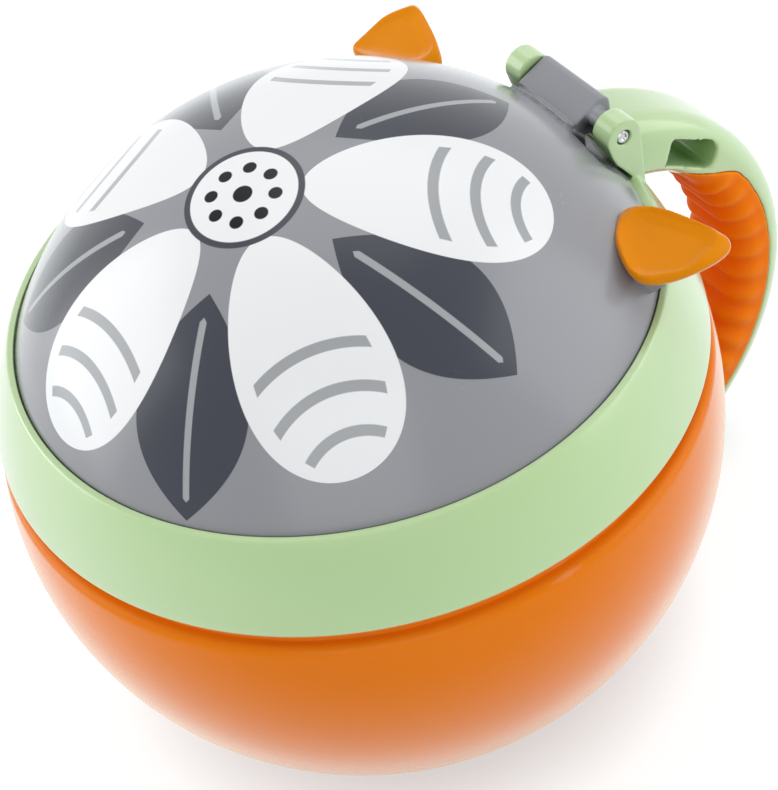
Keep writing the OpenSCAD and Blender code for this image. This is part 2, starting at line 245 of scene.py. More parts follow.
def revolve(name, outline, steps=192, from_turn=0.0, to_turn=360.0):
    """Solid of revolution about the upright axis, whole or a sector, from an outline of (r, z)."""
    whole = abs(to_turn - from_turn) >= 360
    count = steps if whole else steps + 1
    mesh_data = bmesh.new()
    rings = []
    for i in range(count):
        turn = math.radians(between(from_turn, to_turn, i / steps))
        rings.append([mesh_data.verts.new((r * math.cos(turn), r * math.sin(turn), z)) for r, z in outline])
    for i in range(steps):
        ring, after = rings[i], rings[(i + 1) % count]
        for j in range(len(outline)):
            k = (j + 1) % len(outline)
            mesh_data.faces.new((ring[j], after[j], after[k], ring[k]))
    if not whole:
        mesh_data.faces.new(rings[0])
        mesh_data.faces.new(rings[-1])
    bmesh.ops.remove_doubles(mesh_data, verts=mesh_data.verts, dist=1e-5)
    return closed_piece(mesh_data, name)


def loft(name, points, around):
    """Closed piece through a row of rings of equally many points, with a face over each end."""
    faces = []
    for start in range(0, len(points) - around, around):
        for j in range(around):
            a, b = start + j, start + (j + 1) % around
            faces.append((a, b, b + around, a + around))
    faces += [tuple(range(around)), tuple(range(len(points) - around, len(points)))]
    return solid(name, points, faces)


def slab(name, along, across, spots):
    """Closed piece between two skins; spots(i, j) gives both points at a place of its grid."""
    mesh_data = bmesh.new()
    grid = {(i, j): [mesh_data.verts.new(spot) for spot in spots(i, j)]
            for i in range(along + 1) for j in range(across + 1)}
    for skin in (0, 1):
        for i in range(along):
            for j in range(across):
                square = ((i, j), (i + 1, j), (i + 1, j + 1), (i, j + 1))
                mesh_data.faces.new([grid[at][skin] for at in square])
    rim = [(i, 0) for i in range(along + 1)] + [(along, j) for j in range(1, across + 1)]
    rim += [(i, across) for i in range(along - 1, -1, -1)] + [(0, j) for j in range(across - 1, 0, -1)]
    for here, after in zip(rim, rim[1:] + rim[:1]):
        mesh_data.faces.new([grid[here][0], grid[after][0], grid[after][1], grid[here][1]])
    return closed_piece(mesh_data, name)


def prism(name, outline, half_width):
    """Outline in the plane of symmetry (y, z), drawn out across it to both sides."""
    return loft(name, [(side * half_width, y, z) for side in (-1, 1) for y, z in outline], len(outline))


def shift(piece, x):
    """Moves a piece sideways."""
    piece.data.transform(Matrix.Translation((x, 0, 0)))
    return piece


def turned_points(middle, radius, turns):
    """Points on a circle about a middle, at turns in degrees."""
    return [(middle[0] + radius * math.cos(t), middle[1] + radius * math.sin(t))
            for t in (math.radians(a) for a in turns)]


def cross_pin(name, radius, half_length):
    """Round bar along the hinge's axis."""
    return prism(name, turned_points((HINGE_Y, HINGE_Z), radius, [7.5 * i for i in range(48)]), half_length)


def ball(name, radius):
    """Ball about the middle, to cut with."""
    mesh_data = bmesh.new()
    bmesh.ops.create_uvsphere(mesh_data, u_segments=192, v_segments=96, radius=radius)
    return piece_from(mesh_data, name)


def smooth_loop(points, steps=5):
    """Closed smooth curve through a loop of points."""
    loop = [Vector(point) for point in points]
    curve = []
    for i, here in enumerate(loop):
        before, after, beyond = loop[i - 1], loop[(i + 1) % len(loop)], loop[(i + 2) % len(loop)]
        for step in range(steps):
            t = step / steps
            curve.append(0.5 * (2 * here + (after - before) * t
                                + (2 * before - 5 * here + 4 * after - beyond) * t ** 2
                                + (3 * here - before - 3 * after + beyond) * t ** 3))
    return curve


def hull_of_balls(name, centres, radius):
    """Tight skin over a group of equal balls."""
    mesh_data = bmesh.new()
    for centre in centres:
        place = Matrix.Translation(centre)
        bmesh.ops.create_icosphere(mesh_data, subdivisions=3, radius=radius, matrix=place)
    skin = bmesh.ops.convex_hull(mesh_data, input=mesh_data.verts)
    spare = {part for part in skin["geom_interior"] + skin["geom_unused"]
             if isinstance(part, bmesh.types.BMVert)}
    bmesh.ops.delete(mesh_data, geom=list(spare), context="VERTS")
    return closed_piece(mesh_data, name)


def ramp(value, low, high):
    """Smooth step from 0 at low to 1 at high."""
    share = min(max((value - low) / (high - low), 0.0), 1.0)
    return share * share * (3 - 2 * share)


# ---- bowl, seal and threads
def thread_ridge(name, radius, side, z, start):
    """Helical ridge with a rounded crest that fades out at both ends."""
    steps, around = 60, 9
    points = []
    for i in range(steps + 1):
        share = i / steps
        turn = math.radians(start + THREAD_SPAN * share)
        height = min(ramp(share, -0.02, 0.1), ramp(share, 1.02, 0.9))
        for j in range(around):
            angle = math.pi * j / (around - 1)
            out = (THREAD_DEPTH * height + THREAD_SINK) * math.sin(angle) ** 0.7 - THREAD_SINK
            r = radius + side * out
            up = z - THREAD_HALF_H * math.cos(angle) + THREAD_LEAD * THREAD_SPAN / 360 * share
            points.append((r * math.cos(turn), r * math.sin(turn), up))
    return loft(name, points, around)


def thread(name, radius, side, z):
    """All the ridges of one wall's thread."""
    return [thread_ridge(name, radius, side, z, 360 * k / THREAD_STARTS) for k in range(THREAD_STARTS)]


def make_bowl():
    """Round shell with a flat foot, a grooved shoulder, a thin lip and a threaded neck."""
    foot_z, floor_z = -CENTRE_H, -CENTRE_H + FLOOR_T
    dimple_z = foot_z + DIMPLE_UP
    foot_r, floor_r = on_sphere(BALL_R, foot_z), on_sphere(BOWL_IN_R, floor_z)
    shoulder = turned_points((SHOULDER_R, SHOULDER_Z), SHOULDER_ROUND, range(10, 91, 10))
    corners = [(0, dimple_z, 0), (DIMPLE_R, dimple_z, 0.3), (DIMPLE_EDGE_R, foot_z, 0.3),
               (foot_r, foot_z, 1.6)]
    corners += sphere_arc(BALL_R, foot_z + 3, SHOULDER_Z, 60)
    corners += [(r, z, 0) for r, z in shoulder]
    corners += [(GROOVE_R, SHOULDER_TOP, 0.25), (GROOVE_R, LIP_LOW, 0.2), (LIP_R, LIP_LOW, 0.2),
                (LIP_R, LIP_TOP, 0.2), (NECK_R, LIP_TOP, 0.4), (NECK_R, NECK_TOP, 0.5),
                (NECK_IN_R, NECK_TOP, 0.5), (NECK_IN_R, CEILING_Z, 0.8)]
    corners += sphere_arc(BOWL_IN_R, CEILING_Z - 0.01, floor_z + 2, 60)
    corners += [(floor_r - 0.6, floor_z, 2.0), (0, floor_z, 0)]
    shell = revolve("bowl_wall", rounded(corners))
    return merge("bowl_shell", [shell] + thread("bowl_thread", NECK_R, 1, BOWL_THREAD_Z))


def make_bowl_seal():
    """Soft washer between the neck and the deck, with a lip on each face."""
    low, high = NECK_TOP + 0.1, DECK_LOW - 0.15
    middle = (low + high) / 2
    outline = rounded([(34.9, low, 0.2), (38.1, low + 0.1, 0.3), (38.1, high - 0.1, 0.3), (37.3, high, 0.2),
                       (36.6, middle + 0.2, 0.3), (35.9, high, 0.2), (34.9, high, 0.2)])
    return revolve("seal_of_bowl", outline)


# ---- collar and lugs
def make_collar():
    """Band around the bowl, with its bead, deck, threaded skirt and the well for the flaps."""
    outer_low, outer_top = on_sphere(COLLAR_R, COLLAR_LOW), on_sphere(COLLAR_R, BEAD_TOP)
    inner_low, skirt_low = on_sphere(COLLAR_IN_R, COLLAR_LOW), COLLAR_LOW + 0.2
    corners = [(inner_low, COLLAR_LOW, 0.3), (outer_low, COLLAR_LOW, 0.45)]
    corners += sphere_arc(COLLAR_R, COLLAR_LOW + 1.2, BEAD_TOP - 0.9, 24)
    corners += [(outer_top, BEAD_TOP, 0.45), (BEAD_IN_R, BEAD_TOP, 0.12), (BEAD_IN_R, DECK_Z, 0.2),
                (MOUTH_R, DECK_Z, 0.5), (MOUTH_R, LEDGE_TOP, 0.2), (LEDGE_IN_R, LEDGE_TOP, 0.3),
                (LEDGE_IN_R, WELL_LOW, 0.3), (WELL_OUT_R, WELL_LOW, 0.6), (WELL_OUT_R, DECK_LOW, 0.4),
                (SKIRT_R, DECK_LOW, 0.3), (SKIRT_R, skirt_low, 0.4), (SKIRT_OUT_R, skirt_low, 0.4),
                (SKIRT_OUT_R, DECK_LOW, 0.2), (on_sphere(COLLAR_IN_R, DECK_LOW), DECK_LOW, 0.2)]
    corners += sphere_arc(COLLAR_IN_R, DECK_LOW - 0.5, COLLAR_LOW + 1, 20)
    band = revolve("collar_wall", rounded(corners))
    return merge("collar_band", [band] + thread("collar_thread", SKIRT_R, -1, COLLAR_THREAD_Z))


def lug(name, side):
    """Upright lug with a round head beside the lid's hinge block."""
    head = turned_points((HINGE_Y, HINGE_Z), LUG_R, range(0, 181, 6))
    outline = head + [(HINGE_Y - LUG_R + 0.5, HINGE_Z - 2.2), (HINGE_Y - 1.1, HINGE_Z - 4.6),
                      (HINGE_Y - 1.0, DECK_Z - 1), (HINGE_Y + LUG_R, DECK_Z - 1)]
    width = LUGS_W / 2 - LUG_IN
    return shift(prism(name, outline, width / 2), side * (LUG_IN + width / 2))


def lug_feet(name, clear):
    """Feet of the lugs that run out along the collar's edge, grown by a clearance."""
    low, steps, feet = DECK_Z - 1.0, 24, []
    for side in (-1, 1):
        points = []
        for i in range(steps + 1):
            turn = between(FOOT_FROM - clear, FOOT_TO + clear, i / steps)
            full = ramp(turn, FOOT_FROM, FOOT_FROM + FOOT_RISE)
            inner = between(BEAD_IN_R + FOOT_SINK, FOOT_R, full) - clear
            top = between(BEAD_TOP - FOOT_SINK, FOOT_TOP, full) + clear
            outer = [(on_sphere(COLLAR_R - FLUSH + clear, z), z) for z in (low, (low + top) / 2, top)]
            outline = [(inner, low)] + outer + [(inner, top)]
            across, along = side * math.cos(math.radians(turn)), math.sin(math.radians(turn))
            points += [(r * across, r * along, z) for r, z in outline]
        feet.append(loft("foot", points, len(outline)))
    return merge(name, feet)


def make_lugs():
    """Both lugs with their feet, and the plate that joins them behind the lid, in one moulding."""
    lugs = merge("lugs", [lug("lug", -1), lug("lug", 1)])
    combine(lugs, ball("dome_space", DOME_R + SWING_GAP))
    low, inside = DECK_Z - 1.5, BEAD_IN_R + 0.2
    plate = prism("plate", [(PLATE_Y - 0.4, low), (PLATE_BACK, low), (PLATE_BACK, PLATE_TOP),
                            (PLATE_Y, PLATE_TOP)], HANDLE_HALF_W + 0.5)
    combine(plate, revolve("bead_space", [(0.01, 0), (inside, 0), (inside, 60), (0.01, 60)], 96))
    levels = [between(low, BEAD_TOP - 0.5, i / 8) for i in range(9)]
    wall = [(on_sphere(COLLAR_R - FLUSH, z), z) for z in levels]
    root = revolve("lug_root", wall + [(r - 1.2, z) for r, z in reversed(wall)], 40, 74, 106)
    joined = merge("hinge_lugs", [lugs, plate, root, lug_feet("feet", 0.0)])
    combine(joined, cross_pin("pin_hole", PIN_R + 0.12, 20))
    soften(joined, 0.16, 7)
    return joined


def make_pin():
    """Drawn steel pin with chamfered ends and a small dimple in each."""
    half = LUGS_W / 2 - 0.2
    end = [(0.0, half - 0.12), (0.35, half - 0.12), (0.5, half), (0.75, half), (PIN_R, half - 0.22)]
    pin = revolve("steel_pin", [(r, -z) for r, z in end] + end[::-1], 64)
    pin.data.transform(Matrix.Translation((0, HINGE_Y, HINGE_Z)) @ Matrix.Rotation(math.pi / 2, 4, "Y"))
    return pin


# ---- handle
def box_section(inner, outer, half_width, corner):
    """Rounded outline of the handle's section, as points (radius, x) with their outward turns."""
    flat_steps, arc_steps = 10, 8
    middles = ((outer - corner, half_width - corner), (inner + corner, half_width - corner),
               (inner + corner, corner - half_width), (outer - corner, corner - half_width))
    outline = []
    for i, (r, x) in enumerate(middles):
        for j in range(arc_steps + 1):
            turn = math.pi / 2 * (i + j / arc_steps)
            outline.append((r + corner * math.cos(turn), x + corner * math.sin(turn), turn))
        last_r, last_x, turn = outline[-1]
        next_r, next_x = middles[(i + 1) % 4]
        next_r, next_x = next_r + corner * math.cos(turn), next_x + corner * math.sin(turn)
        outline += [(between(last_r, next_r, j / flat_steps), between(last_x, next_x, j / flat_steps), turn)
                    for j in range(1, flat_steps)]
    return outline


def handle_station(turn):
    """Inner and outer radius, half width and corner of the handle at a turn, in degrees above level.

    Past HANDLE_END it rounds off to its tip, and at its root it swells inward.
    """
    half_t = (HANDLE_R - HANDLE_IN_R) / 2
    past = max(0.0, math.radians(HANDLE_END - turn) * HANDLE_MID_R)
    share = math.sqrt(max(1 - (past / half_t) ** 2, 0.0004))
    half_w = HANDLE_HALF_W - 1.8 * (1 - share)
    swell = SWELL_SLOPE * (turn - SWELL_ZERO) * ramp(turn, SWELL_FROM, SWELL_FULL)
    return (HANDLE_MID_R - half_t * share - swell, HANDLE_MID_R + half_t * share, half_w,
            min(HANDLE_ROUND, half_t * share * 0.96))


def handle_turns(step):
    """Turns of the stations along the handle, closer together round its tip."""
    half_t = math.degrees((HANDLE_R - HANDLE_IN_R) / 2 / HANDLE_MID_R)
    count = int((HANDLE_ROOT - HANDLE_END) / step)
    along = [between(HANDLE_ROOT, HANDLE_END, i / count) for i in range(count + 1)]
    return along + [HANDLE_END - half_t * math.sin(math.pi / 2 * i / 12) for i in range(1, 13)]


def loft_handle(name, step, proud=None):
    """Whole handle as one solid; proud(turn, r) is how far its skin stands out there."""
    points = []
    turns = handle_turns(step)
    for turn in turns:
        angle = math.radians(turn)
        for r, x, outward in box_section(*handle_station(turn)):
            if proud:
                height = proud(turn, r)
                r, x = r + height * math.cos(outward), x + height * math.sin(outward)
            points.append((x, HANDLE_Y + r * math.cos(angle), HANDLE_Z + r * math.sin(angle)))
    handle = loft(name, points, len(points) // len(turns))
    combine(handle, ball("ball_space", COLLAR_R - 0.3))
    before_plate = [(-60, -80), (PLATE_BACK - 0.4, -80), (PLATE_BACK - 0.4, 80), (-60, 80)]
    combine(handle, prism("front_space", before_plate, 30))
    return handle


def grip_zone(name):
    """Space of the grip: inside the cap, and under the slanted end below the strap slot."""
    arc = turned_points((HANDLE_Y, HANDLE_Z), GRIP_R, range(-90, 12, 3))
    slant = rounded([(31.2, 6.9, 0), (30.3, 9.7, 4), (28.8, 13.2, 3), (27.2, 15.7, 2.5), (25.4, 16.8, 3),
                     (22.8, 17.9, 5), (20.1, 19.1, 5), (17.2, 20.2, 3), (15, 20.6, 0), (0, 20.6, 0)])
    return prism(name, arc + [(HANDLE_Y + y, HANDLE_Z + z) for y, z in slant], 12)


def strap_slot(name):
    """Slot with a slanted end and a round one."""
    half_h = SLOT_H / 2
    outline = rounded([(-SLOT_HALF, half_h, 0.5), (-SLOT_HALF + SLOT_SLANT, -half_h, 0.5),
                       (SLOT_HALF, -half_h, 1.0), (SLOT_HALF, half_h, 2.0)])
    cos, sin = math.cos(SLOT_TURN), math.sin(SLOT_TURN)
    return prism(name, [(HANDLE_Y + SLOT_Y + a * cos - b * sin, HANDLE_Z + SLOT_Z + a * sin + b * cos)
                        for a, b in outline], 12)


def make_handle_shell():
    """Hard curve of the handle with its strap slot, around the soft grip."""
    shell = loft_handle("handle_curve", 1.0)
    combine(shell, grip_zone("grip_space"))
    combine(shell, strap_slot("slot"))
    soften(shell, 0.28, 4)
    return shell


def rib_height(turn, r):
    """How far the grip's ribs stand out, fading up its sides and towards its ends."""
    pitch = (RIB_FIRST - RIB_LAST) / (RIB_COUNT - 1)
    wave = math.cos(math.pi * (turn - RIB_FIRST) / pitch) ** 2
    sides = ramp(r, HANDLE_IN_R + 5.4, HANDLE_IN_R + 1.2)
    ends = ramp(turn, RIB_FIRST + RIB_END, RIB_FIRST) * ramp(turn, RIB_LAST - RIB_END, RIB_LAST)
    return RIB_PROUD * wave * sides * ends


def make_grip():
    """Soft ribbed inside of the handle."""
    grip = loft_handle("ribbed_grip", 0.6, rib_height)
    combine(grip, grip_zone("grip_space"), "INTERSECT")
    soften(grip, 0.24, 3)
    return grip


# ---- flaps
def flap_half(reach):
    """Half the width of a flap at a distance from the middle of the mouth."""
    half_turn = math.pi / FLAP_COUNT
    return reach * math.tan(half_turn) - FLAP_SLIT / 2 / math.cos(half_turn)


def make_flap(index):
    """Silicone flap: thin web with a thicker bead along its slits and a fine rib down its middle."""
    along, across = 44, 30
    root = FLAP_REACH + 0.35
    turn = Matrix.Rotation(2 * math.pi * index / FLAP_COUNT, 4, "Z")

    def spots(i, j):
        reach = between(FLAP_TIP, root, i / along)
        half = flap_half(reach)
        y = half * math.sin(between(-1, 1, j / across) * math.pi / 2)
        edge = min((half - abs(y)) * math.cos(math.pi / FLAP_COUNT), reach - FLAP_TIP)
        bead = FLAP_HALF_T - FLAP_WEB_LESS * ramp(edge, *BEAD_FADE)
        rib = FLAP_RIB * ramp(abs(y), *RIB_SIDE) * ramp(reach, *RIB_START) * ramp(reach, *RIB_STOP)
        hinge = 1 - 0.25 * ramp(reach, FLAP_REACH - 1.6, FLAP_REACH - 0.9)
        lip, back = 1 - edge / FLAP_EDGE, (reach - FLAP_REACH + 0.1) / FLAP_EDGE
        thin = math.sqrt(max(1 - max(lip, back, 0.0) ** 2, 0.0))
        half_t = max((bead + rib) * hinge * thin, 0.02)
        return [turn @ Vector((reach, y, FLAP_MID_Z + side * half_t)) for side in (-1, 1)]

    return slab(f"soft_flap_{index + 1}", along, across, spots)


def make_flap_ring():
    """Soft ring that the flaps hang from, with a hexagonal hole around them."""
    top = RING_TOP - 0.02
    ring = revolve("soft_ring", rounded([(24.0, RING_LOW, 0), (INSERT_R, RING_LOW, 0.3), (INSERT_R, top, 0.3),
                                         (24.0, top, 0)]))
    hole = (FLAP_REACH + 0.62) / math.cos(math.pi / FLAP_COUNT)
    edge = turned_points((0, 0), hole, [360 / FLAP_COUNT * (k + 0.5) for k in range(FLAP_COUNT)])
    hexagon = [(x, y, z) for z in (RING_LOW - 1, RING_TOP + 1) for x, y in edge]
    combine(ring, loft("hexagon", hexagon, FLAP_COUNT))
    edges = ring.modifiers.new("edges", "BEVEL")
    edges.width = 0.25
    edges.segments = 3
    edges.limit_method = "ANGLE"
    edges.angle_limit = math.radians(50)
    bake_modifiers(ring)
    return ring


def make_retainer():
    """Hard ring that clips the flaps into the well, with a stepped top."""
    low, step = RING_TOP + 0.02, RETAINER_TOP - 0.35
    return revolve("clip_ring", rounded([(RETAINER_IN_R, low, 0.15), (INSERT_R, low, 0.15),
                                         (INSERT_R, RETAINER_TOP, 0.25), (STEP_TOP_R, RETAINER_TOP, 0.15),
                                         (STEP_LOW_R, step, 0.15), (RETAINER_IN_R, step, 0.3)]))


# ---- lid
def hinge_relief(x, y, z):
    """How deep the dome is scooped out at a point, around the collar's lugs."""
    blend, half = 0.22, LUGS_W / 2 + RELIEF_SIDE
    near = ramp(x, BLOCK_TO - 1.6, BLOCK_TO - 0.4) * ramp(x, half + 0.6, half - 0.6)
    far = ramp(x, BLOCK_FROM + 1.6, BLOCK_FROM + 0.4) * ramp(x, -half - 0.6, -half + 0.6)
    inside = RELIEF_R - math.hypot(y - HINGE_Y, z - HINGE_Z)
    return blend * math.log1p(math.exp(inside / blend)) * max(near, far) if inside > -2 else 0.0


def make_dome():
    """Dome of the lid, softly scooped out around the collar's lugs and notched over their feet."""
    rim_r, rim_in_r = on_sphere(DOME_R, LID_LOW), on_sphere(DOME_IN_R, LID_LOW)
    corners = [(rim_in_r, LID_LOW, 0.3), (rim_r, LID_LOW, 0.5)]
    corners += sphere_arc(DOME_R, LID_LOW + 1.1, DOME_R - 0.0001, 120)
    corners += [(0, DOME_R, 0), (0, DOME_IN_R, 0)]
    corners += sphere_arc(DOME_IN_R, DOME_IN_R - 0.0001, LID_LOW + 1, 50)
    dome = revolve("dome_wall", rounded(corners), 360)
    for point in dome.data.vertices:
        if point.co.length > DOME_R - 0.5 and point.co.y > 30:
            point.co -= point.co.normalized() * hinge_relief(*point.co)
    combine(dome, lug_feet("foot_space", SIDE_GAP))
    return dome


def dome_patch(name, radius, x_span, y_span, depth):
    """Slice of the dome under the hinge block, at a radius."""
    steps = 24

    def spots(i, j):
        x, y = between(*x_span, i / steps), between(*y_span, j / steps)
        return [(x, y, math.sqrt(r * r - x * x - y * y)) for r in (radius, radius - depth)]

    return slab(name, steps, steps, spots)


def make_block():
    """Hinge block that grows out of the dome over a low ledge, with a boss towards the near lug."""
    section = [(-3.1, -1.6, 0), (-3.0, 0.5, 0.5), (1.6, 2.3, 0.7), (2.45, 1.5, 0.6)]
    section += [(y, z, 0) for y, z in turned_points((0, 0), BLOCK_R, range(0, -91, -6))]
    outline = [(HINGE_Y + y, HINGE_Z + z) for y, z in rounded(section)]
    block = shift(prism("block", outline, (BLOCK_TO - BLOCK_FROM) / 2), (BLOCK_FROM + BLOCK_TO) / 2)
    boss_half = (LUG_IN - SIDE_GAP - BLOCK_TO + 1) / 2
    boss = shift(cross_pin("boss", BOSS_R, boss_half), BLOCK_TO - 1 + boss_half)
    ledge = dome_patch("ledge", DOME_R + LEDGE_UP, (BLOCK_FROM + 0.3, BLOCK_TO - 0.3),
                       (LEDGE_Y, LEDGE_BACK), 1.6)
    root = dome_patch("block_root", DOME_R - FLUSH, (BLOCK_FROM - 1.2, BLOCK_TO + 0.3),
                      (ROOT_Y, ROOT_BACK), 1.3)
    joined = merge("hinge_block", [block, boss, ledge, root])
    soften(joined, 0.15, 8)
    combine(joined, cross_pin("pin_bore", PIN_R + 0.07, 20))
    return joined


def make_pads():
    """Flared pads that carry the ears over the collar's edge."""
    outline = rounded([(37.5, PAD_LOW, 0), (PAD_IN_R, PAD_LOW, 0.5), (PAD_R, PAD_TOP, 0.2),
                       (36.0, PAD_TOP, 0)])
    joined = merge("ear_pads", [revolve("pad", outline, 24, PAD_FROM, PAD_TO),
                                revolve("pad", outline, 24, 180 - PAD_TO, 180 - PAD_FROM)])
    soften(joined, 0.16, 8)
    return joined


def make_liner():
    """Smooth inner cover of the lid, with the plug that goes into the mouth and its groove for the seal."""
    low, groove_r = LID_LOW + 0.1, PLUG_R - 0.7
    groove_low, groove_top = DECK_Z - 0.95, DECK_Z - 0.05
    plug_top = on_sphere(LINER_IN_R, PLUG_IN_R)
    corners = [(PLUG_IN_R, PLUG_LOW, 0.4), (PLUG_R - 0.1, PLUG_LOW, 0.4), (PLUG_R, groove_low, 0.1),
               (groove_r, groove_low, 0.1), (groove_r, groove_top, 0.1), (PLUG_R, groove_top, 0.1),
               (PLUG_R, PLUG_TOP, 0.8)]
    corners += sphere_arc(LINER_IN_R, on_sphere(LINER_IN_R, PLUG_R + 0.6), low + 1.2, 12)
    corners += [(on_sphere(LINER_IN_R, low + 0.9) - 2.0, low + 0.7, 0.4), (LINER_FOOT_R, low + 0.7, 0.2),
                (LINER_FOOT_R, low, 0.2), (DOME_IN_R * 0.858, low, 0.3), (DOME_IN_R * 0.85, low + 1.2, 0.3)]
    corners += sphere_arc(LINER_R, low + 1.4, LINER_R - 0.0001, 60)
    corners += [(0, LINER_R, 0), (0, LINER_IN_R, 0)]
    corners += sphere_arc(LINER_IN_R, LINER_IN_R - 0.0001, plug_top + 0.4, 40)
    corners += [(PLUG_IN_R, plug_top, 0.8)]
    return revolve("inner_cover", rounded(corners))


def make_lid_seal():
    """Soft ring in the plug's groove, with two lips."""
    low, high = DECK_Z - 0.9, DECK_Z - 0.1
    inner, outer = MOUTH_R - 1.3, MOUTH_R - 0.3
    return revolve("seal_of_lid", rounded([
        (inner, low, 0.1), (outer - 0.1, low, 0.15), (outer, low + 0.2, 0.15),
        (outer - 0.3, (low + high) / 2, 0.15), (outer, high - 0.2, 0.15), (outer - 0.1, high, 0.15),
        (inner, high, 0.1)]))


def make_ear(name, side):
    """Rounded leaf with a shallow hollow in its upper face."""
    ear = hull_of_balls(name, smooth_loop(EAR_EDGE) + list(EAR_ROOT), EAR_ROUND)
    combine(ear, hull_of_balls("hollow", EAR_HOLLOW, HOLLOW_ROUND))
    combine(ear, ball("dome_space", DOME_R - 0.1))
    combine(ear, prism("below", [(0, 0), (60, 0), (60, PAD_TOP), (0, PAD_TOP)], 60))
    soften(ear, 0.15, 14)
    if side < 0:
        ear.data.transform(Matrix.Scale(-1, 4, (1, 0, 0)))
        ear.data.flip_normals()
    return ear


# ---- shader tools
def feed(tree, socket, value):
    """Gives a socket a number or colour, or a link from the output that feeds it."""
    if isinstance(value, bpy.types.NodeSocket):
        tree.links.new(value, socket)
    else:
        socket.default_value = value


def put(tree, kind, inputs=None, **settings):
    """Adds a node; inputs are numbers or colours, or the outputs that feed them."""
    made = tree.nodes.new(kind)
    for name, value in settings.items():
        setattr(made, name, value)
    for key, value in (inputs or {}).items():
        feed(tree, made.inputs[key], value)
    return made


def math_node(tree, operation, *values):
    """Output of a sum on numbers or sockets."""
    return put(tree, "ShaderNodeMath", dict(enumerate(values)), operation=operation).outputs[0]


def vector_node(tree, operation, *values):
    """Outputs of a vector node: the vector, and the value of a dot product."""
    return put(tree, "ShaderNodeVectorMath", dict(enumerate(values)), operation=operation).outputs


def ranged(tree, value, low, high, to_low=0.0, to_high=1.0):
    """Value mapped from one range to another, and kept within it."""
    return put(tree, "ShaderNodeMapRange", {"Value": value, "From Min": low, "From Max": high,
                                            "To Min": to_low, "To Max": to_high}).outputs[0]


def object_place(tree):
    """Place in the piece's own axes, in metres."""
    return put(tree, "ShaderNodeTexCoord").outputs["Object"]


def noise(tree, place, scale, detail, distortion=0.0):
    """Cloudy value about 0.5."""
    return put(tree, "ShaderNodeTexNoise", {"Vector": place, "Scale": scale, "Detail": detail,
                                            "Distortion": distortion}).outputs["Fac"]


def open_share(tree, reach, samples):
    """How much of the surroundings within a reach is open: 1 in the clear, 0 in a deep gap."""
    return put(tree, "ShaderNodeAmbientOcclusion", {"Distance": reach}, samples=samples).outputs["AO"]


def mix_colour(tree, share, first, second, blend="MIX"):
    """Output that goes from the first colour to the second as the share rises."""
    return put(tree, "ShaderNodeMix", {0: share, 6: first, 7: second}, data_type="RGBA",
               blend_type=blend).outputs[2]


def linear(red, green, blue):
    """Scene colour from the 0 to 255 levels of a screen."""
    levels = [c / 255 for c in (red, green, blue)]
    return tuple(c / 12.92 if c <= 0.04045 else ((c + 0.055) / 1.055) ** 2.4 for c in levels) + (1.0,)


def add_socket(group, name, side):
    """Input or output of a group; all but "Colour" are numbers."""
    kind = "NodeSocketColor" if name == "Colour" else "NodeSocketFloat"
    return group.interface.new_socket(name=name, in_out=side, socket_type=kind)


def open_group(name, inputs):
    """Empty shader node group, with the sockets that give its inputs."""
    group = bpy.data.node_groups.new(name, "ShaderNodeTree")
    for socket, value in inputs.items():
        add_socket(group, socket, "INPUT").default_value = value
    return group, group.nodes.new("NodeGroupInput").outputs


def close_group(group, outputs):
    """Adds a group's outputs and links what feeds each."""
    for socket in outputs:
        add_socket(group, socket, "OUTPUT")
    result = group.nodes.new("NodeGroupOutput")
    for socket, value in outputs.items():
        group.links.new(value, result.inputs[socket])
    return group


def place_group(tree, group, inputs):
    """Outputs of a shared group set into a tree."""
    return put(tree, "ShaderNodeGroup", inputs, node_tree=group).outputs


MID_GREY = (0.5, 0.5, 0.5, 1.0)
WHITE = (1.0, 1.0, 1.0, 1.0)


def moulded_group():
    """Moulded plastic: cloudy colour and gloss, a fine skin and faint handling marks."""
    group, given = open_group("moulded_plastic", {"Colour": MID_GREY, "Cloud": 0.04, "Roughness": 0.3,
                                                  "Gloss change": 0.05, "Marks": 0.3})
    place = object_place(group)
    cloud = math_node(group, "SUBTRACT", noise(group, place, 38.0, 4.0), 0.5)
    tint = math_node(group, "MULTIPLY_ADD", math_node(group, "MULTIPLY", cloud, given["Cloud"]), 2.0, 1.0)
    tone = vector_node(group, "MULTIPLY", given["Colour"], tint)[0]
    skin = noise(group, place, 900.0, 3.0)
    stretch = put(group, "ShaderNodeMapping", {"Vector": place, "Scale": (1.0, 1.0, 6.0),
                                               "Rotation": (0.5, 0.9, 0.3)}).outputs[0]
    sparse = ranged(group, noise(group, stretch, 420.0, 5.0, 1.2), 0.62, 0.74)
    worn = math_node(group, "MULTIPLY", sparse, given["Marks"])
    change = math_node(group, "MULTIPLY", cloud, given["Gloss change"])
    rough = math_node(group, "MULTIPLY_ADD", change, 2.0, given["Roughness"])
    rough = math_node(group, "MULTIPLY_ADD", worn, 0.12, rough)
    height = math_node(group, "MULTIPLY_ADD", worn, -0.4, skin)
    return close_group(group, {"Colour": tone, "Roughness": rough, "Height": height})


def edge_group():
    """Edges a touch paler and rougher, where hands rub a moulding."""
    group, given = open_group("rubbed_edges", {"Colour": MID_GREY, "Roughness": 0.3, "Amount": 0.3})
    edge = ranged(group, put(group, "ShaderNodeNewGeometry").outputs["Pointiness"], 0.54, 0.66)
    patchy = noise(group, object_place(group), 260.0, 4.0)
    share = math_node(group, "MULTIPLY", math_node(group, "MULTIPLY", edge, patchy), given["Amount"])
    paler = mix_colour(group, share, given["Colour"], (1.0, 0.98, 0.94, 1))
    rougher = math_node(group, "MULTIPLY_ADD", share, 0.25, given["Roughness"])
    return close_group(group, {"Colour": paler, "Roughness": rougher})


